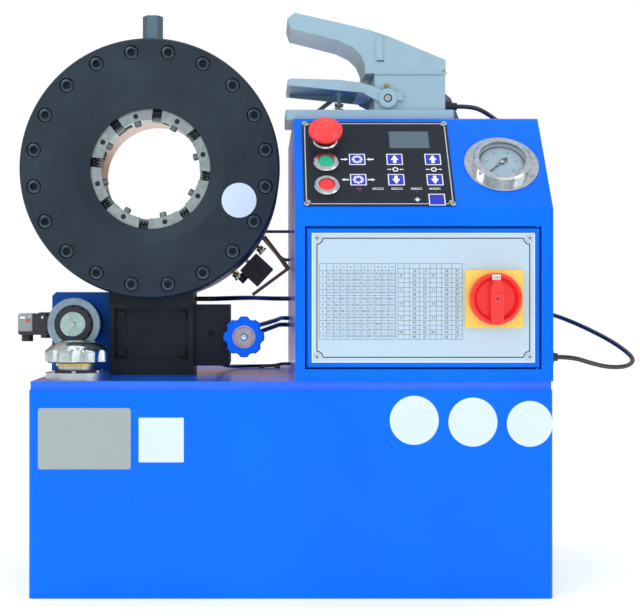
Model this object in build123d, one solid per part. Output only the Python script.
"""Hose crimping machine: tank with power unit, eight-die crimping head, control cabinet and foot pedal.

Millimetres. Origin at the middle of the tank's underside, +X to the operator's right, +Y away from the
operator, +Z up. Clock angles are seen from the operator's side, clockwise from straight up.
"""
from build123d import *
from math import cos, hypot, pi, radians, sin, sqrt, tan
import os

# ---- power unit -----------------------------------------------------------------------------------
tank_width = 600.0
tank_depth = 430.0
deck_top = 248.5
deck_thickness = 10.0
deck_inset = 2.0
tank_wall = 3.0
bay_width = 250.0            # motor bay, open at the back
bay_height = 190.0
bay_margin = 20.0            # tank wall left round the bay's opening
panel_overlap = 12.0
screw_radius = 3.0

motor_radius = 70.0
motor_length = 150.0
motor_x = 120.0
motor_z = 105.0
motor_wall_gap = 12.0        # fan cover to the tank's back wall
motor_shield = 10.0
motor_foot_inset = 15.0
motor_box_side = 60.0
pump_side = 70.0
pump_length = 60.0
bell_length = 50.0
strainer_radius = 25.0
strainer_length = 70.0
suction_radius = 8.0

# ---- crimping head --------------------------------------------------------------------------------
head_x = -170.0
head_lift = 94.7             # deck to the head's underside
head_radius = 158.8
head_z = deck_top + head_lift + head_radius
head_front = -110.0
head_back = 51.0
cover_thickness = 30.0
cover_bore = 73.7
dish_radius = 91.0
dish_depth = 5.0
head_chamfer = 2.0
cylinder_wall = 27.8
cylinder_bore = head_radius - cylinder_wall
sleeve_bore = 68.5
sleeve_wall = 8.0
end_wall = 15.0
bolt_count = 20
bolt_margin = 15.8           # bolt circle inside the rim
bolt_circle = head_radius - bolt_margin
bolt_radius = 5.0
bolt_head_radius = 8.0
bolt_head_length = 10.0
bolt_socket = 4.0            # half of the hexagon socket's width over flats
bolt_reach = 22.0            # thread engaged in the cylinder
bolt_sink = 1.0              # head below the cover's face

# ---- dies and wedge piston ------------------------------------------------------------------------
die_count = 8
first_die_angle = 29.5
die_recess = 12.0            # die nose behind the cover's face
die_land_radius = 60.5
die_land_length = 33.0
die_relief_radius = 68.0
die_gap = 11.8               # between neighbours with the head open
die_back_radius = 105.0      # over the wedge flat at its front end
die_rear = -15.0
wedge_slope = 0.414
slide_gap = 0.25
piston_stroke = 34.7
piston_body = 50.0
piston_skirt = 30.0
skirt_wall = 9.0
seal_depth = 5.0
seal_width = 8.0
die_hole_radius = 3.2
die_hole_depth = 14.0
lock_pin_radius = 3.8
lock_pin_reach = 8.5
lock_pin_inset = 5.5
spring_radius = 3.4
spring_pocket_radius = 4.3
spring_seat = 3.0

# ---- foot, port block and needle valve ------------------------------------------------------------
foot_width = 103.6
foot_front = -80.0
foot_back = 20.0
foot_sole = 20.0
foot_web_recess = 12.0
foot_web_height = 62.5
foot_web_margin = 6.0
port_block_width = 45.0
port_block_bottom = deck_top + 11.1
port_block_height = 76.4
port_plug_z = deck_top + 51.5
port_block_front = -70.0
port_block_back = 10.0
port_plug_radius = 8.0
valve_block_width = 36.0
valve_block_height = 34.0
handwheel_radius = 25.0
handwheel_lobes = 8
handwheel_z = deck_top + 47.9
handwheel_badge_radius = 13.0
handwheel_front = -104.0
handwheel_thickness = 17.0
nut_flats = 22.0
nut_height = 36.0
nut_thread_radius = 6.9
nut_thread_depth = 30.0
nut_y = -57.0
nut_spigot = 8.0
spigot_depth = 9.0

# ---- directional valve ----------------------------------------------------------------------------
valve_width = 74.0
valve_front = -60.0
valve_back = 30.0
valve_head_gap = 0.45
subplate_height = 19.5
subplate_margin = 4.0
coil_drop = 39.5             # coil axis below the valve's top
coil_radius = 29.0
coil_ring_radius = 32.0
coil_length = 58.0
coil_nut_radius = 22.0
coil_nut_length = 10.0
plug_height = 26.0
plug_width = 34.0
plug_depth = 28.0
override_radius = 3.0
override_travel = 2.5

# ---- filler breather ------------------------------------------------------------------------------
filler_x = 50.0 - tank_width / 2
filler_y = 45.0 - tank_depth / 2
filler_flange_radius = 37.0
filler_flange = 8.5
filler_neck_radius = 22.0
filler_neck_height = 11.0
filler_bore = 18.3
basket_depth = 90.0
cap_radius = 39.0
cap_height = 26.0
cap_scallops = 12

# ---- control cabinet ------------------------------------------------------------------------------
cabinet_left = 5.0
cabinet_right = 300.0
cabinet_front = -tank_depth / 2
cabinet_back = tank_depth / 2
cabinet_fold = 445.5
slope_rise = 115.5
slope_run = 93.0
cabinet_top = cabinet_fold + slope_rise
cabinet_ridge = cabinet_front + slope_run       # front edge of the flat top
sheet = 2.0
fold_radius = 5.0
door_left = 17.3
door_right = 285.2
door_bottom = deck_top + 15.0
door_top = cabinet_fold - 20.9
door_gap = 1.2
door_flange = 12.0
pivot_inset = 3.0            # door's hinge line behind its front and inside its edge
pivot_radius = 1.5
size_plate_margin = 6.5
size_plate_thickness = 1.0
isolator_x = 231.7
isolator_z = (door_bottom + door_top) / 2 - 1.25
isolator_plate = 66.0
isolator_plate_thickness = 5.0
isolator_body_radius = 24.0
isolator_body_depth = 45.0
isolator_shaft_radius = 6.0
knob_radius = 29.5
knob_thickness = 14.0
knob_handle_width = 14.4
knob_handle_height = 8.0

# ---- console, measured along the slope from the fold -------------------------------------------------
keypad_left = 15.0
keypad_right = 189.0
keypad_low = 4.0
keypad_high = 141.0
keypad_thickness = 1.2
button_x = 42.0
stop_slope = 33.4
start_slope = 71.0
estop_slope = 107.0
bezel_radius = 15.0
bezel_height = 5.0
barrel_radius = 11.0
barrel_depth = 30.0
button_radius = 9.4
button_proud = 4.0
button_travel = 3.5
estop_radius = 20.0
estop_stem_radius = 7.0
estop_height = 26.0
estop_head = 12.0
estop_travel = 5.0
gauge_x = 248.0
gauge_slope = 70.0
gauge_flange_radius = 43.5
gauge_flange = 2.0
gauge_bezel_radius = 34.0
gauge_dial_radius = 27.5
gauge_height = 12.0
gauge_depth = 30.0
gauge_screw_circle = 39.0
needle_length = 22.0

# ---- limit switch ---------------------------------------------------------------------------------
switch_angle = 133.0
switch_side = 31.0
switch_height = 30.0
switch_front = 5.0
switch_rim_gap = 3.7
bracket_thickness = 4.0
plunger_radius = 2.5
plunger_travel = 2.0

# ---- foot pedal -----------------------------------------------------------------------------------
pedal_left = -4.0
pedal_right = 201.0
pedal_front = cabinet_ridge + 10.0
pedal_back = pedal_front + 106.0
pedal_base_thickness = 12.0
pedal_ear = 6.0              # room for the treadle's ear beside the casting
hood_left = 104.0
hood_width = 87.0
hood_right = hood_left + hood_width
hood_seam = cabinet_top + 57.0
hood_wall = 4.0
treadle_reach = 122.0        # tip to pivot
treadle_pivot_x = 120.0
treadle_pivot_z = cabinet_top + 26.0
treadle_pin_radius = 3.5
bail_width = 12.0
bail_thickness = 4.0
bail_pin_radius = 3.0
bail_y = pedal_back + 7.0
bail_z = cabinet_top + 7.0
bail_rise = 40.0
bail_left_x = 16.0
bail_right_x = 196.0
plunger_x = 63.5

# ---- cord, pipes and fits -------------------------------------------------------------------------
cord_radius = 2.8
cord_gland_radius = 8.0
cord_gland_length = 16.0
pedal_gland_length = 20.0
pipe_radius = 3.2
hose_radius = 3.1
cable_radius = 2.1
running_gap = 0.05           # radial, on shafts
shake_gap = 0.3              # between moving pieces that only pass each other
socket_gap = 0.15            # radial, on sliding caps and barrels


# ---- tools ----------------------------------------------------------------------------------------
def block(x_span, y_span, z_span):
    spans = (x_span, y_span, z_span)
    middle = [(low + high) / 2 for low, high in spans]
    return Pos(*middle) * Box(*[high - low for low, high in spans])


def rod_x(radius, y, z, x_from, x_to):
    return Pos((x_from + x_to) / 2, y, z) * Rot(0, 90, 0) * Cylinder(radius, abs(x_to - x_from))


def rod_y(radius, x, z, y_from, y_to):
    return Pos(x, (y_from + y_to) / 2, z) * Rot(90, 0, 0) * Cylinder(radius, abs(y_to - y_from))


def rod_z(radius, x, y, z_from, z_to):
    return Pos(x, y, (z_from + z_to) / 2) * Cylinder(radius, abs(z_to - z_from))


def turned_y(profile, x=0.0, z=0.0):
    """Revolve a closed profile of (radius, y) points about a line along Y."""
    return Pos(x, 0, z) * revolve(make_face(Polyline(*profile, close=True)), Axis.Y)


def turned_z(profile, x=0.0, y=0.0):
    """Revolve a closed profile of (radius, z) points about a line along Z."""
    points = [(radius, 0, height) for radius, height in profile]
    return Pos(x, y, 0) * revolve(make_face(Polyline(*points, close=True)), Axis.Z)


def prism_y(profile, y_from, y_to):
    """Extrude a closed profile of (x, z) points from y_from to y_to."""
    face = make_face(Polyline(*[(x, y_from, z) for x, z in profile], close=True))
    return extrude(face, amount=y_to - y_from, dir=(0, 1, 0))


def prism_x(profile, x_from, x_to):
    """Extrude a closed profile of (y, z) points from x_from to x_to."""
    face = make_face(Polyline(*[(x_from, y, z) for y, z in profile], close=True))
    return extrude(face, amount=x_to - x_from, dir=(1, 0, 0))


def shifted(profile, x, z):
    return [(x + across, z + up) for across, up in profile]


def hexagon_y(half_flats, x, z, y_from, y_to):
    face = Plane.XZ.offset(-y_from) * Pos(x, z) * RegularPolygon(half_flats, 6, major_radius=False)
    return extrude(face, amount=y_to - y_from, dir=(0, 1, 0))


def round_head(angle):
    """Placement at a clock angle about the head's axis, with local +Z pointing outwards."""
    return Pos(head_x, 0, head_z) * Rot(0, angle, 0)


def bend_radii(points):
    """Largest radii that the runs on both sides of each corner allow."""
    radii = []
    for before, corner, after in zip(points, points[1:], points[2:]):
        first = Vector(*corner) - Vector(*before)
        second = Vector(*after) - Vector(*corner)
        half_turn = radians(first.get_angle(second)) / 2
        radii.append(0.45 * min(first.length, second.length) / tan(half_turn))
    return radii


def tube(points, radius):
    path = FilletPolyline(*points, radius=bend_radii(points))
    start = Plane(origin=points[0], z_dir=Vector(*points[1]) - Vector(*points[0]))
    return sweep(start * Circle(radius), path=path)


def save(name, *shapes):
    solids = [solid for shape in shapes for solid in shape.solids()]
    node = solids[0] if len(solids) == 1 else Compound(children=solids)
    node.label = name
    export_step(node, f"parts/{name}.step")


# ---- tank and what is in it -----------------------------------------------------------------------
half_width = tank_width / 2
half_depth = tank_depth / 2
deck_bottom = deck_top - deck_thickness
bay_left = motor_x - bay_width / 2
bay_right = motor_x + bay_width / 2
bay_bottom = bay_margin
bay_top = bay_bottom + bay_height


def make_tank():
    outline = block((-half_width, half_width), (-half_depth, half_depth), (0, deck_bottom))
    outline = fillet(outline.edges().filter_by(Axis.Z), fold_radius)
    full_width = (-half_width, half_width)
    inner_depth = (-half_depth + tank_wall, half_depth - tank_wall)
    height = (tank_wall, deck_bottom)
    floor = outline & block(full_width, (-half_depth, half_depth), (0, tank_wall))
    front = outline & block(full_width, (-half_depth, inner_depth[0]), height)
    back = outline & block(full_width, (inner_depth[1], half_depth), height)
    back -= block((bay_left + bay_margin, bay_right - bay_margin),
                  (inner_depth[1] - 1, half_depth + 1), (bay_bottom, bay_top))
    left = outline & block((-half_width, -half_width + tank_wall), inner_depth, height)
    right = outline & block((half_width - tank_wall, half_width), inner_depth, height)
    partition = block((bay_left - tank_wall, bay_left), inner_depth, height)
    return [floor, front, back, left, right, partition]


def make_lid():
    lid = block((-half_width + deck_inset, half_width - deck_inset),
                (-half_depth + deck_inset, half_depth - deck_inset), (deck_bottom, deck_top))
    return lid - rod_z(filler_neck_radius + shake_gap, filler_x, filler_y, deck_bottom - 1, deck_top + 1)


def make_service_panel():
    low_x = bay_left + bay_margin - panel_overlap
    high_x = bay_right - bay_margin + panel_overlap
    low_z = bay_bottom - panel_overlap
    high_z = bay_top + panel_overlap
    panel = block((low_x, high_x), (half_depth, half_depth + sheet), (low_z, high_z))
    slot_z = bay_top - 2 * panel_overlap
    for row in range(5):
        for side in (-1, 1):
            middle = motor_x + side * bay_width / 5
            slot = SlotOverall(bay_width / 4, 6)
            cutter = extrude(Plane.XZ.offset(-half_depth + 1) * Pos(middle, slot_z - row * 16) * slot,
                             amount=sheet + 2, dir=(0, 1, 0))
            panel -= cutter
    return panel


motor_back = half_depth - motor_wall_gap
motor_front = motor_back - motor_length
bell_front = motor_front - motor_shield - bell_length
suction_y = bell_front - pump_length / 3


def make_motor():
    frame = rod_y(motor_radius, motor_x, motor_z, motor_front, motor_back)
    frame += rod_y(motor_radius * 0.8, motor_x, motor_z, motor_front - motor_shield, motor_front)
    feet = block((motor_x - motor_radius * 0.8, motor_x + motor_radius * 0.8),
                 (motor_front + motor_foot_inset, motor_back - motor_foot_inset),
                 (tank_wall, motor_z - motor_radius * 0.7))
    box_front = motor_front + motor_box_side / 2
    box = block((motor_x - motor_box_side / 2, motor_x + motor_box_side / 2),
                (box_front, box_front + motor_box_side),
                (motor_z + motor_radius * 0.9, motor_z + motor_radius + motor_box_side / 2))
    return frame + feet + box


def make_pump():
    bell = rod_y(pump_side * 0.6, motor_x, motor_z, bell_front, motor_front - motor_shield)
    body = block((motor_x - pump_side / 2, motor_x + pump_side / 2),
                 (bell_front - pump_length, bell_front), (motor_z - pump_side / 2, motor_z + pump_side / 2))
    suction = rod_x(suction_radius, suction_y, motor_z, bay_left, motor_x - pump_side / 2)
    return bell + body + suction


def make_strainer():
    wall = bay_left - tank_wall
    screen_end = wall - suction_radius * 1.5
    screen = rod_x(strainer_radius, suction_y, motor_z, screen_end - strainer_length, screen_end)
    return screen + rod_x(suction_radius + 2, suction_y, motor_z, screen_end, wall)


# ---- crimping head --------------------------------------------------------------------------------
cover_back = head_front + cover_thickness
bolt_angles = [180 / bolt_count + step * 360 / bolt_count for step in range(bolt_count)]
sleeve_outer = sleeve_bore + sleeve_wall
cavity_back = head_back - end_wall
sleeve_front = die_rear + 2.0


def bolt_places():
    return [(head_x + bolt_circle * sin(radians(angle)), head_z + bolt_circle * cos(radians(angle)))
            for angle in bolt_angles]


def make_front_cover():
    profile = [(cover_bore, cover_back), (cover_bore, head_front + dish_depth), (dish_radius, head_front),
               (head_radius - head_chamfer, head_front), (head_radius, head_front + head_chamfer),
               (head_radius, cover_back)]
    cover = turned_y(profile, head_x, head_z)
    sink = bolt_sink + bolt_head_length
    for x, z in bolt_places():
        cover -= rod_y(bolt_head_radius + 1, x, z, head_front - 1, head_front + sink)
        cover -= rod_y(bolt_radius + shake_gap, x, z, head_front, cover_back + 1)
    return cover


def make_cylinder():
    profile = [(cylinder_bore, cover_back), (head_radius, cover_back),
               (head_radius, head_back - head_chamfer), (head_radius - head_chamfer, head_back),
               (sleeve_bore, head_back), (sleeve_bore, sleeve_front), (sleeve_outer, sleeve_front),
               (sleeve_outer, cavity_back), (cylinder_bore, cavity_back)]
    cylinder = turned_y(profile, head_x, head_z)
    for x, z in bolt_places():
        cylinder -= rod_y(bolt_radius, x, z, cover_back - 1, cover_back + bolt_reach)
    return cylinder - rod_z(nut_spigot, head_x, nut_y, head_z + head_radius - spigot_depth - 1,
                            head_z + head_radius + 1)


def make_bolts():
    face = head_front + bolt_sink
    bolts = []
    for x, z in bolt_places():
        bolt = rod_y(bolt_head_radius, x, z, face, face + bolt_head_length)
        bolt += rod_y(bolt_radius, x, z, face + bolt_head_length, cover_back + bolt_reach)
        bolts.append(bolt - hexagon_y(bolt_socket, x, z, face - 1, face + bolt_head_length / 2))
    return bolts


def make_lifting_nut():
    seat = head_z + head_radius + 0.1
    plane = Plane.XY.offset(seat)
    nut = extrude(plane * Pos(head_x, nut_y) * RegularPolygon(nut_flats / 2, 6, major_radius=False),
                  amount=nut_height)
    nut += rod_z(nut_spigot - socket_gap, head_x, nut_y, seat - spigot_depth, seat)
    return nut - rod_z(nut_thread_radius, head_x, nut_y, seat + nut_height - nut_thread_depth,
                       seat + nut_height + 1)


# ---- dies: the wedge flats of die and piston share one line ------------------------------------------
die_front = head_front + die_recess
die_shoulder = cover_back + slide_gap
half_step = 180 / die_count
nose_radius = cover_bore - slide_gap
piston_front = cover_back + slide_gap + piston_stroke
die_angles = [first_die_angle + step * 360 / die_count for step in range(die_count)]
die_travel = wedge_slope * piston_stroke


def die_back_at(y):
    return die_back_radius - wedge_slope * (y - die_shoulder)


def flank_point(radius_along):
    """Place on a die's right flank, in the die's own frame, and the flank's outward direction."""
    tilt = radians(half_step)
    offset = die_gap / 2
    x = radius_along * sin(tilt) - offset * cos(tilt)
    z = radius_along * cos(tilt) + offset * sin(tilt)
    return x, z


def flank_rod(radius, y, along, side, depth_in, reach_out):
    """Rod across a flank, from depth_in inside the die to reach_out in front of the flank."""
    x, z = flank_point(along)
    length = depth_in + reach_out
    rod = Rot(0, 90, 0) * Cylinder(radius, length)
    shift = (reach_out - depth_in) / 2
    return Pos(side * x, y, z) * Rot(0, side * half_step, 0) * Pos(side * shift, 0, 0) * rod


spring_places = [(die_front + 6.5, cover_bore - 6.5), (die_shoulder + 30.0, die_relief_radius + 9.0)]


def make_die():
    apex = die_gap / 2 / sin(radians(half_step))
    reach = die_back_radius + 10
    half_span = tan(radians(half_step)) * (reach - apex)
    wedge = prism_y([(0, apex), (half_span, reach), (-half_span, reach)], die_front, die_rear)
    body = prism_x([(die_shoulder, 0), (die_shoulder, die_back_radius), (die_rear, die_back_at(die_rear)),
                    (die_rear, 0)], -reach, reach)
    nose = rod_y(nose_radius, 0, 0, die_front, die_shoulder)
    land_end = die_front + die_land_length
    bore = rod_y(die_land_radius, 0, 0, die_front - 1, land_end)
    bore += rod_y(die_relief_radius, 0, 0, land_end, die_rear + 1)
    die = (nose + body) & wedge
    die -= bore
    die -= rod_y(die_hole_radius, 0, (die_land_radius + nose_radius) / 2, die_front - 1,
                 die_front + die_hole_depth)
    for y, along in spring_places:
        die -= flank_rod(spring_pocket_radius, y, along, -1, die_gap + spring_seat + 0.5, 1)
        die -= flank_rod(spring_radius, y, along, 1, spring_seat, 1)
    return die


def make_die_springs():
    return [flank_rod(spring_radius, y, along, 1, spring_seat, die_gap + 1) for y, along in spring_places]


def make_lock_pin():
    y = die_front + lock_pin_inset
    seat = sqrt(die_land_radius ** 2 - lock_pin_radius ** 2) - 0.1
    return rod_z(lock_pin_radius, 0, y, seat - lock_pin_reach, seat)


def make_piston():
    back = piston_front + piston_body
    bore = sleeve_outer + running_gap * 2
    outer = cylinder_bore - running_gap * 2
    skirt = bore + skirt_wall
    groove_1 = piston_front + 12
    groove_2 = groove_1 + seal_width + 8
    floor = outer - seal_depth
    profile = [(bore, piston_front), (outer, piston_front)]
    for groove in (groove_1, groove_2):
        profile += [(outer, groove), (floor, groove), (floor, groove + seal_width), (outer, groove + seal_width)]
    profile += [(outer, back), (skirt, back), (skirt, back + piston_skirt), (bore, back + piston_skirt)]
    piston = turned_y(profile, head_x, head_z)
    sections = []
    # the flats run back until the round bore swallows the polygon's corners
    flats_end = die_shoulder + (die_back_radius - 0.95 * bore * cos(radians(half_step))) / wedge_slope
    for y in (piston_front - 1, flats_end):
        flats = RegularPolygon(die_back_at(y) + slide_gap, die_count, major_radius=False)
        # turned by half a step, the polygon has a flat across each die's back
        sections.append(Pos(head_x, y, head_z) * Rot(0, first_die_angle, 0) * Rot(90, 0, 0)
                        * Rot(0, 0, half_step) * flats)
    return piston - loft(sections, ruled=True)


def make_seals():
    outer = cylinder_bore - shake_gap
    floor = cylinder_bore - running_gap * 2 - seal_depth
    groove_1 = piston_front + 12
    rings = []
    for groove in (groove_1, groove_1 + seal_width + 8):
        rings.append(turned_y([(floor, groove), (outer, groove), (outer, groove + seal_width),
                               (floor, groove + seal_width)], head_x, head_z))
    return rings


# ---- foot, port block, needle valve ---------------------------------------------------------------
foot_left = head_x - foot_width / 2
foot_right = head_x + foot_width / 2
valve_block_left = foot_right + port_block_width
handwheel_x = valve_block_left + valve_block_width / 2
valve_block_back = port_block_back
valve_block_front = port_block_front + 10


foot_web_top = deck_top + foot_sole + foot_web_height
screw_inset = 8.0


def make_foot():
    foot = block((foot_left, foot_right), (foot_front, foot_back), (deck_top, head_z - head_radius / 2))
    saddle = rod_y(head_radius + 0.05, head_x, head_z, foot_front - 1, foot_back + 1)
    window = block((foot_left + foot_web_margin, foot_right - foot_web_margin),
                   (foot_front - 1, foot_front + foot_web_recess), (deck_top + foot_sole, foot_web_top))
    return foot - saddle - window


def make_foot_screws():
    face = foot_front + foot_web_recess
    screws = []
    for x in (foot_left + 14, foot_right - 14):
        for z in (deck_top + foot_sole + screw_inset, foot_web_top - screw_inset):
            screws.append(block((x - 4, x + 4), (face - 6, face), (z - 4, z + 4)))
    return screws


def make_port_block():
    body = block((foot_right, valve_block_left), (port_block_front, port_block_back),
                 (port_block_bottom, port_block_bottom + port_block_height))
    body = fillet(body.edges().filter_by(Axis.Y), 2)
    x = (foot_right + valve_block_left) / 2
    return body - rod_y(port_plug_radius, x, port_plug_z, port_block_front - 1, port_block_front + 10)


def make_port_plug():
    x = (foot_right + valve_block_left) / 2
    plug = rod_y(port_plug_radius, x, port_plug_z, port_block_front - 0.5, port_block_front + 10)
    return plug - hexagon_y(4, x, port_plug_z, port_block_front - 1, port_block_front + 5)


def make_needle_valve():
    low = handwheel_z - valve_block_height / 2
    body = block((valve_block_left, valve_block_left + valve_block_width),
                 (valve_block_front, valve_block_back), (low, low + valve_block_height))
    neck_end = handwheel_front + handwheel_thickness + 3
    body += rod_y(10, handwheel_x, handwheel_z, neck_end, valve_block_front)
    bore = rod_y(5 + running_gap, handwheel_x, handwheel_z, neck_end - 1, valve_block_front + 15)
    return body - bore


def make_handwheel():
    back = handwheel_front + handwheel_thickness
    wheel = rod_y(handwheel_radius, handwheel_x, handwheel_z, handwheel_front, back)
    lobe = handwheel_radius * 0.25
    for step in range(handwheel_lobes):
        angle = radians((step + 0.5) * 360 / handwheel_lobes)
        reach = handwheel_radius + lobe * 0.55
        wheel -= rod_y(lobe, handwheel_x + reach * sin(angle), handwheel_z + reach * cos(angle),
                       handwheel_front - 1, back + 1)
    rim = wheel.edges().filter_by(GeomType.CIRCLE).group_by(Axis.Y)[0]
    wheel = chamfer(rim, 1.5)
    wheel -= rod_y(handwheel_badge_radius, handwheel_x, handwheel_z, handwheel_front - 1, handwheel_front + 1)
    return wheel + rod_y(5, handwheel_x, handwheel_z, back - 1, valve_block_front + 12)


# ---- directional valve ----------------------------------------------------------------------------
valve_right = foot_left - 0.2
valve_left = valve_right - valve_width
valve_top = head_z - sqrt(head_radius ** 2 - (valve_right - head_x) ** 2) - valve_head_gap
coil_x = valve_left + valve_width / 2 - 2
coil_z = valve_top - coil_drop


def make_directional_valve():
    plate = block((valve_left, valve_right), (valve_front - subplate_margin, valve_back + subplate_margin),
                  (deck_top, deck_top + subplate_height))
    body = block((valve_left, valve_right), (valve_front, valve_back), (deck_top + subplate_height, valve_top))
    body = chamfer(body.edges().filter_by(Axis.Y).group_by(Axis.Z)[-1], 5)
    core_front = rod_y(12, coil_x, coil_z, valve_front - coil_length, valve_front)
    core_back = rod_y(12, coil_x, coil_z, valve_back, valve_back + coil_length)
    front_end = valve_front - coil_length - coil_nut_length
    bore = rod_y(override_radius + running_gap, coil_x, coil_z, front_end - 1, front_end + 20)
    core_front += rod_y(10, coil_x, coil_z, front_end, valve_front - coil_length)
    core_back += rod_y(10, coil_x, coil_z, valve_back + coil_length,
                       valve_back + coil_length + coil_nut_length)
    return plate, body + core_front + core_back - bore


def coil(front, back, ring_at):
    ring = rod_y(coil_ring_radius, coil_x, coil_z, *ring_at)
    body = rod_y(coil_radius, coil_x, coil_z, front, back)
    spade = block((coil_x - coil_radius - 6, coil_x - coil_radius + 8), (front + 8, back - 12),
                  (coil_z - 10, coil_z + 10))
    return ring + body + spade - rod_y(12, coil_x, coil_z, front - 1, back + 1)


def make_coils():
    front_end = valve_front - coil_length
    back_end = valve_back + coil_length
    return [coil(front_end, valve_front, (front_end, front_end + 8)),
            coil(valve_back, back_end, (back_end - 8, back_end))]


def make_coil_nuts():
    front_end = valve_front - coil_length
    back_end = valve_back + coil_length
    nuts = []
    for near, far in ((front_end, front_end - coil_nut_length), (back_end, back_end + coil_nut_length)):
        nut = rod_y(coil_nut_radius, coil_x, coil_z, near, far)
        for step in range(12):
            angle = radians(step * 30)
            nut -= rod_y(1.6, coil_x + coil_nut_radius * sin(angle), coil_z + coil_nut_radius * cos(angle),
                         min(near, far) - 1, max(near, far) + 1)
        nuts.append(nut - rod_y(10, coil_x, coil_z, min(near, far) - 1, max(near, far) + 1))
    return nuts


def make_override_pin():
    front_end = valve_front - coil_length - coil_nut_length
    return rod_y(override_radius, coil_x, coil_z, front_end - 4, front_end + 20 - 2 * override_travel)


def make_din_plugs():
    right = coil_x - coil_radius - 6
    plugs = []
    for front in (valve_front - coil_length + 8, valve_back + 8):
        body = block((right - plug_width, right), (front, front + plug_depth),
                     (coil_z - plug_height / 2, coil_z + plug_height / 2))
        body = fillet(body.edges().filter_by(Axis.Y), 3)
        middle = front + plug_depth / 2
        gland = rod_z(7, right - plug_width + 9, middle, coil_z - plug_height / 2 - 8, coil_z)
        plugs.append(body + gland)
    return plugs


# ---- filler ---------------------------------------------------------------------------------------
neck_top = deck_top + filler_flange + filler_neck_height
cap_bottom = neck_top + shake_gap


def make_filler_neck():
    profile = [(filler_bore, deck_top - basket_depth), (filler_neck_radius, deck_top - basket_depth),
               (filler_neck_radius, deck_top), (filler_flange_radius, deck_top),
               (filler_flange_radius, deck_top + filler_flange),
               (filler_neck_radius, deck_top + filler_flange), (filler_neck_radius, neck_top),
               (filler_bore, neck_top)]
    return turned_z(profile, filler_x, filler_y)


def make_filler_cap():
    top = cap_bottom + cap_height
    profile = [(0, cap_bottom), (cap_radius, cap_bottom), (cap_radius, cap_bottom + 0.55 * cap_height),
               (cap_radius * 0.9, cap_bottom + 0.8 * cap_height), (cap_radius * 0.6, top - 1), (0, top)]
    cap = turned_z(profile, filler_x, filler_y)
    for step in range(cap_scallops):
        angle = radians(step * 360 / cap_scallops)
        reach = cap_radius + 3.5
        cap -= rod_z(6, filler_x + reach * cos(angle), filler_y + reach * sin(angle), cap_bottom + 4, top + 1)
    return cap + rod_z(filler_bore - shake_gap, filler_x, filler_y, cap_bottom - 6, cap_bottom)


# ---- cabinet --------------------------------------------------------------------------------------
slope_length = hypot(slope_rise, slope_run)
console_up = (0, slope_run / slope_length, slope_rise / slope_length)
console_out = (0, -slope_rise / slope_length, slope_run / slope_length)
console = Plane(origin=(0, cabinet_front, cabinet_fold), x_dir=(1, 0, 0), z_dir=console_out)


def on_console(shape):
    return console.location * shape


def cabinet_outline():
    corners = [(cabinet_front, deck_top), (cabinet_front, cabinet_fold), (cabinet_ridge, cabinet_top),
               (cabinet_back, cabinet_top), (cabinet_back, deck_top)]
    face = make_face(Polyline(*corners, close=True))
    bends = [corner for corner in face.vertices() if corner.Y > deck_top + 1]
    return fillet(bends, fold_radius)


def make_cabinet():
    outer = cabinet_outline()
    inner = offset(outer, -sheet)
    shell = extrude(Plane.YZ.offset(cabinet_left) * outer, amount=cabinet_right - cabinet_left)
    shell -= extrude(Plane.YZ.offset(cabinet_left + sheet) * inner,
                     amount=cabinet_right - cabinet_left - 2 * sheet)
    shell -= block((door_left - door_gap, door_right + door_gap), (cabinet_front - 1, cabinet_front + sheet + 1),
                   (door_bottom - door_gap, door_top + door_gap))
    for slope in (stop_slope, start_slope, estop_slope):
        shell -= on_console(Pos(button_x, slope, 0) * Cylinder(barrel_radius + socket_gap, 4 * sheet))
    case_hole = gauge_bezel_radius - 1.5 + socket_gap
    return shell - on_console(Pos(gauge_x, gauge_slope, 0) * Cylinder(case_hole, 4 * sheet))


pivot_x = door_right - pivot_inset
pivot_y = cabinet_front + pivot_inset


def make_door_pivots():
    pivots = []
    for edge, up in ((door_bottom, 1), (door_top, -1)):
        sill = edge - up * door_gap
        heights = sorted((sill - up * 4, sill))
        bracket = block((pivot_x - 8, pivot_x + 8), (cabinet_front + sheet, cabinet_front + sheet + 10), heights)
        shoulder = rod_z(2 * pivot_radius, pivot_x, pivot_y, sill, edge - up * shake_gap)
        pin = rod_z(pivot_radius, pivot_x, pivot_y, sill, edge + up * sheet)
        pivots.append(bracket + shoulder + pin)
    return pivots


def make_door():
    front = cabinet_front
    tray = block((door_left, door_right), (front, front + sheet + door_flange), (door_bottom, door_top))
    tray -= block((door_left + sheet, door_right - sheet), (front + sheet, front + sheet + door_flange + 1),
                  (door_bottom + sheet, door_top - sheet))
    tray -= rod_z(pivot_radius + running_gap, pivot_x, pivot_y, door_bottom - 1, door_top + 1)
    return tray - rod_y(isolator_body_radius + socket_gap, isolator_x, isolator_z, front - 1, front + sheet + 1)


def make_size_plate():
    back = cabinet_front
    front = back - size_plate_thickness
    low_x = door_left + size_plate_margin
    high_x = door_right - size_plate_margin
    low_z = door_bottom + size_plate_margin
    high_z = door_top - size_plate_margin
    plate = block((low_x, high_x), (front, back), (low_z, high_z))
    plate -= rod_y(isolator_body_radius + socket_gap, isolator_x, isolator_z, front - 1, back + 1)
    screws = []
    for x in (low_x + 6, high_x - 6):
        for z in (low_z + 6, high_z - 6):
            screws.append(rod_y(3.6, x, z, front - 1.6, front))
    return [plate] + screws


plate_face = cabinet_front - size_plate_thickness
switch_face = plate_face - isolator_plate_thickness


def make_isolator():
    half = isolator_plate / 2
    plate = block((isolator_x - half, isolator_x + half), (switch_face, plate_face),
                  (isolator_z - half, isolator_z + half))
    plate = fillet(plate.edges().filter_by(Axis.Y), 2)
    body = rod_y(isolator_body_radius, isolator_x, isolator_z, plate_face, plate_face + isolator_body_depth)
    bore = rod_y(isolator_shaft_radius + running_gap, isolator_x, isolator_z, switch_face - 1,
                 plate_face + 20)
    return plate + body - bore


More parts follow.
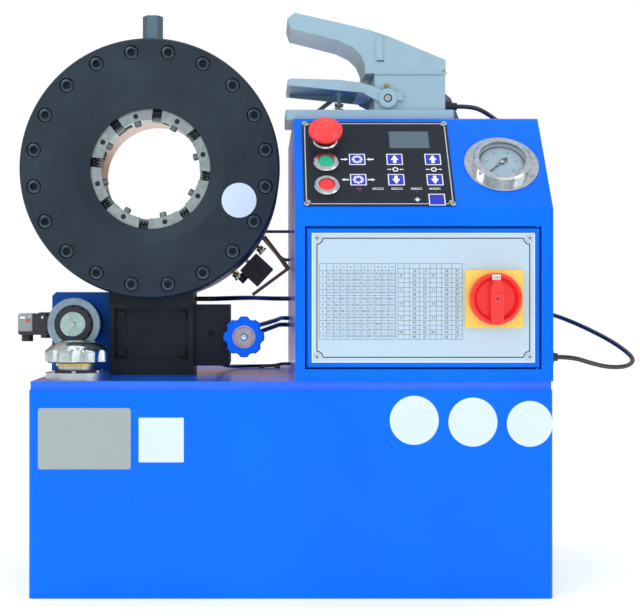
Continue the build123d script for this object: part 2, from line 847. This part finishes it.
def make_isolator_knob():
    back = switch_face - shake_gap
    front = back - knob_thickness
    profile = [(0, back), (knob_radius, back), (knob_radius, front + 2), (knob_radius - 2, front),
               (knob_radius - 4, front), (knob_radius - 8, front + 7), (0, front + 7)]
    knob = turned_y(profile, isolator_x, isolator_z)
    tip = front - knob_handle_height
    half = knob_handle_width / 2
    low = isolator_z - knob_radius + 1
    high = isolator_z + knob_radius - 8
    outline = [(isolator_x - half, low), (isolator_x - half, high - 10), (isolator_x - half / 2, high),
               (isolator_x + half / 2, high), (isolator_x + half, high - 10), (isolator_x + half, low)]
    handle = prism_y(outline, tip, front + 8)
    handle = chamfer(handle.faces().sort_by(Axis.Y)[0].edges(), 1.5)
    shaft = rod_y(isolator_shaft_radius, isolator_x, isolator_z, back, plate_face + 18)
    return knob + handle + shaft


def make_control_gear():
    floor = deck_top + sheet
    back = cabinet_back - sheet
    plate = block((cabinet_left + 30, cabinet_right - 30), (back - 6, back), (floor + 30, cabinet_top - 60))
    contactors = []
    for step in range(3):
        x = cabinet_left + 60 + step * 70
        contactors.append(block((x, x + 45), (back - 90, back - 6), (floor + 120, floor + 205)))
    transformer = block((cabinet_left + 60, cabinet_left + 150), (back - 96, back - 6),
                        (floor + 35, floor + 105))
    return [plate, transformer] + contactors


# ---- console parts --------------------------------------------------------------------------------
button_slopes = (stop_slope, start_slope, estop_slope)


def make_keypad():
    panel = Pos((keypad_left + keypad_right) / 2, (keypad_low + keypad_high) / 2, keypad_thickness / 2) * Box(
        keypad_right - keypad_left, keypad_high - keypad_low, keypad_thickness)
    for slope in button_slopes:
        panel -= Pos(button_x, slope, 0) * Cylinder(barrel_radius + socket_gap, 4 * sheet)
    return on_console(panel)


def console_rod(radius, x, slope, low, high):
    return Pos(x, slope, (low + high) / 2) * Cylinder(radius, high - low)


def make_bezels():
    bezels = []
    for slope in button_slopes:
        bore = estop_stem_radius if slope == estop_slope else button_radius
        ring = console_rod(bezel_radius, button_x, slope, keypad_thickness, keypad_thickness + bezel_height)
        ring = chamfer(ring.edges().group_by(Axis.Z)[-1], 1.5)
        ring += console_rod(barrel_radius, button_x, slope, -barrel_depth, keypad_thickness)
        ring -= console_rod(bore + socket_gap, button_x, slope, -barrel_depth + 4, 20)
        bezels.append(on_console(ring))
    return bezels


button_floor = -barrel_depth + 4 + button_travel + 1.5


def make_button(slope):
    top = keypad_thickness + button_proud
    cap = console_rod(button_radius, button_x, slope, button_floor, top)
    return on_console(chamfer(cap.edges().group_by(Axis.Z)[-1], 0.8))


def make_estop_stem():
    floor = -barrel_depth + 4 + estop_travel + 0.5
    return on_console(console_rod(estop_stem_radius, button_x, estop_slope, floor,
                                  keypad_thickness + estop_height - estop_head - shake_gap)
                      + console_rod(3, button_x, estop_slope, 0, keypad_thickness + estop_height - 4))


def make_estop_button():
    top = keypad_thickness + estop_height
    low = top - estop_head
    profile = [(3 + running_gap, low), (estop_radius - 3, low), (estop_radius, low + 3),
               (estop_radius, top - 5), (estop_radius * 0.75, top - 1), (0, top), (0, top - 3),
               (3 + running_gap, top - 3)]
    return on_console(Pos(button_x, estop_slope, 0) * turned_z(profile))


def make_gauge_case():
    body_radius = gauge_bezel_radius - 1.5
    inner = gauge_dial_radius + 2.5
    profile = [(0, -gauge_depth), (body_radius, -gauge_depth), (body_radius, 0), (gauge_flange_radius, 0),
               (gauge_flange_radius, gauge_flange), (gauge_bezel_radius, gauge_flange),
               (gauge_bezel_radius, gauge_height - 2), (gauge_bezel_radius - 2, gauge_height),
               (gauge_dial_radius, gauge_height), (gauge_dial_radius, gauge_height - 2),
               (inner, gauge_height - 2), (inner, 2), (inner - 4, 2), (inner - 4, -gauge_depth + 2),
               (0, -gauge_depth + 2)]
    return on_console(Pos(gauge_x, gauge_slope, 0) * turned_z(profile))


def make_gauge_dial():
    inner = gauge_dial_radius + 2.5
    dial = console_rod(inner, gauge_x, gauge_slope, 2, 3)
    return on_console(dial - console_rod(1.2, gauge_x, gauge_slope, 0, 4))


def make_gauge_glass():
    inner = gauge_dial_radius + 2.5
    return on_console(console_rod(inner, gauge_x, gauge_slope, gauge_height - 4, gauge_height - 2))


def make_gauge_needle():
    hub = console_rod(3, gauge_x, gauge_slope, 3.4, 6.4) + console_rod(1, gauge_x, gauge_slope, -10, 3.4)
    blade = Pos(gauge_x, gauge_slope, 5) * Rot(0, 0, 135) * Pos(0, needle_length / 2 - 4, 0) * Box(
        1.4, needle_length + 8, 1)
    return on_console(hub + blade)


def make_panel_screws():
    screws = []
    for x in (keypad_left + 5, keypad_right - 5):
        for slope in (keypad_low + 5, keypad_high - 5):
            screws.append(on_console(console_rod(2.8, x, slope, keypad_thickness, keypad_thickness + 1.5)))
    for angle in (0, 120, 240):
        x = gauge_x + gauge_screw_circle * sin(radians(angle))
        slope = gauge_slope + gauge_screw_circle * cos(radians(angle))
        screws.append(on_console(console_rod(2.8, x, slope, gauge_flange, gauge_flange + 1.5)))
    flange_top = deck_top + filler_flange
    for step in range(6):
        angle = radians(step * 60 + 30)
        reach = (filler_flange_radius + filler_neck_radius) / 2
        screws.append(rod_z(screw_radius, filler_x + reach * cos(angle), filler_y + reach * sin(angle),
                            flange_top, flange_top + 2.5))
    for x in (bay_left + bay_margin - panel_overlap / 2, bay_right - bay_margin + panel_overlap / 2):
        for z in (bay_bottom, bay_top):
            screws.append(rod_y(screw_radius, x, z, half_depth + sheet, half_depth + sheet + 2.5))
    return screws


# ---- limit switch, in the frame of its clock angle ---------------------------------------------------
switch_low = head_radius + switch_rim_gap
switch_back = switch_front + switch_height


def make_limit_switch():
    half = switch_side / 2
    box = block((-half, half), (switch_front, switch_back), (switch_low, switch_low + switch_side))
    box = fillet(box.edges().filter_by(Axis.Y), 1.5)
    gland = rod_x(5.5, (switch_front + switch_back) / 2, switch_low + 9, half, half + 10)
    bore = rod_z(plunger_radius + socket_gap, 0, (switch_front + switch_back) / 2, switch_low - 1,
                 switch_low + 12)
    return round_head(switch_angle) * (box + gland - bore)


def make_limit_plunger():
    y = (switch_front + switch_back) / 2
    return round_head(switch_angle) * rod_z(plunger_radius, 0, y, head_radius + 0.8,
                                            switch_low + 12 - plunger_travel - 1)


def make_switch_bracket():
    start = (-37.0, sqrt(head_radius ** 2 - 37.0 ** 2) + 0.77)
    corner = (-27.0, switch_low + switch_side + 10.5)
    end = (27.0, switch_low + switch_side + 0.4)
    wall = bracket_thickness
    outline = [start, corner, end, (end[0] + 0.8, end[1] + wall), (corner[0] - wall * 1.2, corner[1] + wall * 1.3),
               (start[0] - wall, start[1])]
    strip = prism_y(outline, switch_front + 5, switch_back)
    studs = []
    for x in (-23.0, 23.0):
        low = sqrt(head_radius ** 2 - (abs(x) - 2) ** 2) + 0.15
        stud = rod_z(2, x, switch_front + 5, low, switch_low + 6)
        stud += rod_z(4.2, x, switch_front + 5, switch_low - 1, switch_low + 2)
        studs.append(stud)
    return [round_head(switch_angle) * piece for piece in [strip] + studs]


# ---- pipes, hoses and cables ----------------------------------------------------------------------
def make_oil_pipes():
    port = handwheel_z + 8.6
    upper = [(handwheel_x + 8, valve_block_back, port), (handwheel_x + 8, 45, port), (-30, 100, port + 4),
             (-14, 150, port + 8), (-6, 184, port + 10.5), (-1, 196, port + 10.5), (cabinet_left, 196, port + 10.5)]
    port = handwheel_z - 6.4
    lower = [(handwheel_x - 6, valve_block_back, port), (handwheel_x - 6, 40, port), (-40, 90, port + 7),
             (-20, 135, port + 13), (-9, 164, port + 16.5), (-2, 176, port + 16.5),
             (cabinet_left, 176, port + 16.5)]
    return [tube(upper, pipe_radius), tube(lower, pipe_radius)]


def make_hoses():
    high = head_z - 65
    upper = [(-72, head_back, high), (-72, 80, high), (-60, 108, high - 0.5), (-34, 120, high - 1),
             (cabinet_left, 120, high - 1)]
    high = head_z - 30
    curved = [(-78, head_back, high), (-78, 78, high), (-70, 102, high - 7), (-52, 118, high - 22),
              (-32, 123, high - 44), (-14, 121, high - 66), (-3, 120, high - 75), (cabinet_left, 120, high - 75)]
    high = deck_top + head_lift - 0.2
    lower = [(foot_right, 4, high), (-95, 4, high), (-70, 22, high + 1), (-50, 55, high + 1.4), (-34, 92, high + 1),
             (-15, 120, high + 0.5), (cabinet_left, 120, high + 0.5)]
    return [tube(upper, cable_radius), tube(curved, cable_radius + 0.2), tube(lower, hose_radius)]


def make_deck_cable():
    y = 113.0
    z = deck_top + cable_radius + 0.3
    route = [(foot_right, 16, z + 14), (-98, 16, z + 14), (-84, 50, z + 3), (-70, 90, z), (-44, y, z),
             (-16, y + 2, z + 0.5), (-6, y + 2, z + 3), (cabinet_left, y + 2, z + 3)]
    cable = tube(route, cable_radius)
    clips = []
    for x in (-34, -12):
        clips.append(block((x - 4, x + 4), (y - 9, y - 3.4), (deck_top, deck_top + 5)))
    return [cable] + clips


# ---- foot pedal -----------------------------------------------------------------------------------
pedal_floor = cabinet_top
base_top = pedal_floor + pedal_base_thickness
casting_front = pedal_front + pedal_ear
casting_back = pedal_back - pedal_ear
pedal_middle = (pedal_front + pedal_back) / 2


def make_pedal_base():
    plate = block((pedal_left, pedal_right), (pedal_front, pedal_back), (pedal_floor, base_top))
    plate = fillet(plate.edges().filter_by(Axis.Z), 4)
    tower = block((hood_left, hood_right), (casting_front, casting_back), (base_top, hood_seam))
    tower = fillet(tower.edges().filter_by(Axis.Z), 3)
    tower -= block((hood_left + hood_wall, hood_right - hood_wall),
                   (casting_front + hood_wall, casting_back - hood_wall), (base_top, hood_seam + 1))
    pocket = rod_z(6, plunger_x, pedal_middle, pedal_floor - 1, base_top + 1)
    lugs = []
    for x in (bail_left_x, bail_right_x):
        lugs.append(block((x - 4, x + 4), (pedal_back, bail_y + 6), (pedal_floor, bail_z + 5)))
    bail_hole = rod_x(bail_pin_radius + running_gap, bail_y, bail_z, pedal_left - 30, pedal_right + 60)
    pivot = rod_y(treadle_pin_radius, treadle_pivot_x, treadle_pivot_z, pedal_front - 2, pedal_back)
    body = plate + tower - pocket
    for lug in lugs:
        body += lug - bail_hole
    return [body - pivot, pivot]


def make_pedal_hood():
    roof = [(-11, 0), (-11, 10), (-16, 22), (-26, 32), (-43, 40), (-74, 48), (-102, 55), (-106, 67),
            (-97, 74), (-44, 62), (-6, 53), (18, 45), (hood_width, 16.5), (hood_width, 0)]
    front = casting_front - 1
    back = casting_back + 1
    shell = prism_y(shifted(roof, hood_left, hood_seam), front, back)
    hollow = [(hood_wall, -1), (hood_wall, 37), (18, 37), (hood_width - hood_wall, 12), (hood_width - hood_wall, -1)]
    shell -= prism_y(shifted(hollow, hood_left, hood_seam), front + hood_wall, back - hood_wall)
    groove = block((hood_left + 3, hood_left + 12), (front - 1, front + hood_wall - 1),
                   (hood_seam + 14, hood_seam + 37))
    return shell - groove


def make_treadle():
    # outlines from the pivot
    deck = [(-treadle_reach, 16), (-treadle_reach, 22), (4 - treadle_reach, 24), (-60, 22.5), (-32, 19), (-21, 14),
            (-21, 5), (-32, 7)]
    plate = prism_y(shifted(deck, treadle_pivot_x, treadle_pivot_z), pedal_front, pedal_back)
    well = [(4 - treadle_reach, 13), (4 - treadle_reach, 19), (-60, 17.5), (-36, 15), (-36, 3)]
    plate -= prism_y(shifted(well, treadle_pivot_x, treadle_pivot_z), pedal_front + 4, pedal_back - 4)
    ear = [(-28, 17), (-20, 15.5), (-6, 9), (18, 7), (18, -2), (10, -3), (4, -8), (-4, -8), (-10, -4), (-28, 5)]
    for near, far in ((pedal_front, casting_front - shake_gap), (casting_back + shake_gap, pedal_back)):
        plate += prism_y(shifted(ear, treadle_pivot_x, treadle_pivot_z), near, far)
    plate -= rod_y(treadle_pin_radius + running_gap, treadle_pivot_x, treadle_pivot_z, pedal_front - 3,
                   pedal_back + 3)
    rod = rod_z(2.5, plunger_x, pedal_middle, base_top - 4, treadle_pivot_z + 18.5)
    for collar in (base_top + 12, treadle_pivot_z + 10):
        rod += rod_z(5.5, plunger_x, pedal_middle, collar, collar + 2)
    return [plate, rod]


def make_bail():
    low = bail_z - 2
    top = bail_z + bail_rise
    wall = bail_thickness
    left = bail_left_x + 4 + shake_gap
    right = bail_right_x + 4 + shake_gap
    arch = [(left, low), (left, low + 8), (left + 36, top - 6), (left + 46, top), (right + 4, top),
            (right + 11, top - 6), (right + 18 + wall, low + 8), (right + 18 + wall, low), (right + 18, low),
            (right + 18, low + 7), (right + 7, top - 9), (right + 2, top - wall), (left + 47, top - wall),
            (left + 39, top - 10), (left + wall, low + 6), (left + wall, low)]
    strap = prism_y(arch, bail_y - bail_width / 2, bail_y + bail_width / 2)
    pins = rod_x(bail_pin_radius, bail_y, bail_z, bail_left_x - 5, left + 1)
    pins += rod_x(bail_pin_radius, bail_y, bail_z, bail_right_x - 5, right + 19)
    return strap + pins


# ---- pedal cord -----------------------------------------------------------------------------------
gland_y = -160.0
gland_z = 274.0
pedal_gland_y = -60.0
pedal_gland_z = cabinet_top + 23.0
cord_start = hood_right + pedal_gland_length
cord_end = cabinet_right + cord_gland_length
cord_route = [
    (cord_start, pedal_gland_y, pedal_gland_z), (cord_start + 20, pedal_gland_y, pedal_gland_z),
    (248, -52, 578), (267, -34, 569), (281, -6, 565), (287, 32, 564.6), (286, 78, 564.9), (279, 126, 564.6),
    (272, 170, 566), (268, 208, 572), (266, 240, 562), (266, 257, 532), (269, 259, 492), (275, 257, 448),
    (284, 256, 408), (297, 250, 374), (314, 232, 350), (328, 200, 336), (335, 158, 330), (341, 108, 326),
    (343, 56, 324.5), (350, 8, 321), (368, -34, 311), (391, -66, 297), (409, -87, 284), (420, -112, 270),
    (407, -137, 262), (382, -149, 261), (357, -157, 266.5), (cord_end + 18, gland_y, gland_z),
    (cord_end, gland_y, gland_z)]


def make_glands():
    wall_gland = rod_x(cord_gland_radius, gland_y, gland_z, cabinet_right, cord_end - 5)
    wall_gland += rod_x(cord_radius + 2, gland_y, gland_z, cord_end - 5, cord_end)
    pedal_gland = rod_x(cord_gland_radius, pedal_gland_y, pedal_gland_z, hood_right, cord_start - 8)
    pedal_gland += rod_x(cord_radius + 2, pedal_gland_y, pedal_gland_z, cord_start - 8, cord_start)
    return [wall_gland, pedal_gland]


# ---- write the nodes ------------------------------------------------------------------------------
save("tank_body", *make_tank())
save("tank_lid", make_lid())
save("service_panel", make_service_panel())
save("electric_motor", make_motor())
save("gear_pump", make_pump())
save("suction_strainer", make_strainer())

save("front_cover", make_front_cover())
save("head_cylinder", make_cylinder())
save("head_bolts", *make_bolts())
save("lifting_nut", make_lifting_nut())
save("piston", make_piston(), *make_seals())
die = make_die()
springs = make_die_springs()
lock_pin = make_lock_pin()
for number, angle in enumerate(die_angles, start=1):
    turned = round_head(angle)
    save(f"die_{number}", turned * die, turned * lock_pin, *[turned * spring for spring in springs])

save("foot_block", make_foot())
save("foot_screws", *make_foot_screws())
save("port_block", make_port_block(), make_port_plug())
save("needle_valve", make_needle_valve())
save("handwheel", make_handwheel())
save("directional_valve", *make_directional_valve())
save("solenoid_coils", *make_coils())
save("solenoid_nuts", *make_coil_nuts())
save("override_pin", make_override_pin())
save("din_plugs", *make_din_plugs())
save("filler_neck", make_filler_neck())
save("filler_cap", make_filler_cap())

save("cabinet_shell", make_cabinet())
save("cabinet_door", make_door())
save("door_pivots", *make_door_pivots())
save("size_plate", *make_size_plate())
save("isolator_switch", make_isolator())
save("isolator_knob", make_isolator_knob())
save("control_gear", *make_control_gear())
save("keypad_panel", make_keypad())
save("button_bezels", *make_bezels())
save("stop_button", make_button(stop_slope))
save("start_button", make_button(start_slope))
save("estop_stem", make_estop_stem())
save("estop_button", make_estop_button())
save("gauge_case", make_gauge_case())
save("gauge_dial", make_gauge_dial())
save("gauge_glass", make_gauge_glass())
save("gauge_needle", make_gauge_needle())
save("panel_screws", *make_panel_screws())

save("limit_switch", make_limit_switch())
save("limit_plunger", make_limit_plunger())
save("switch_bracket", *make_switch_bracket())
save("oil_pipes", *make_oil_pipes())
save("hoses_and_cables", *make_hoses(), *make_deck_cable())

save("pedal_base", *make_pedal_base())
save("pedal_hood", make_pedal_hood())
save("pedal_treadle", *make_treadle())
save("pedal_bail", make_bail())
save("cord_glands", *make_glands())
cord = tube(cord_route, cord_radius)
save("pedal_cord", cord)
radii = bend_radii(cord_route)
print("cord radii", [round(radius) for radius in radii])
print("cord length", round(cord.volume / (pi * cord_radius ** 2)))
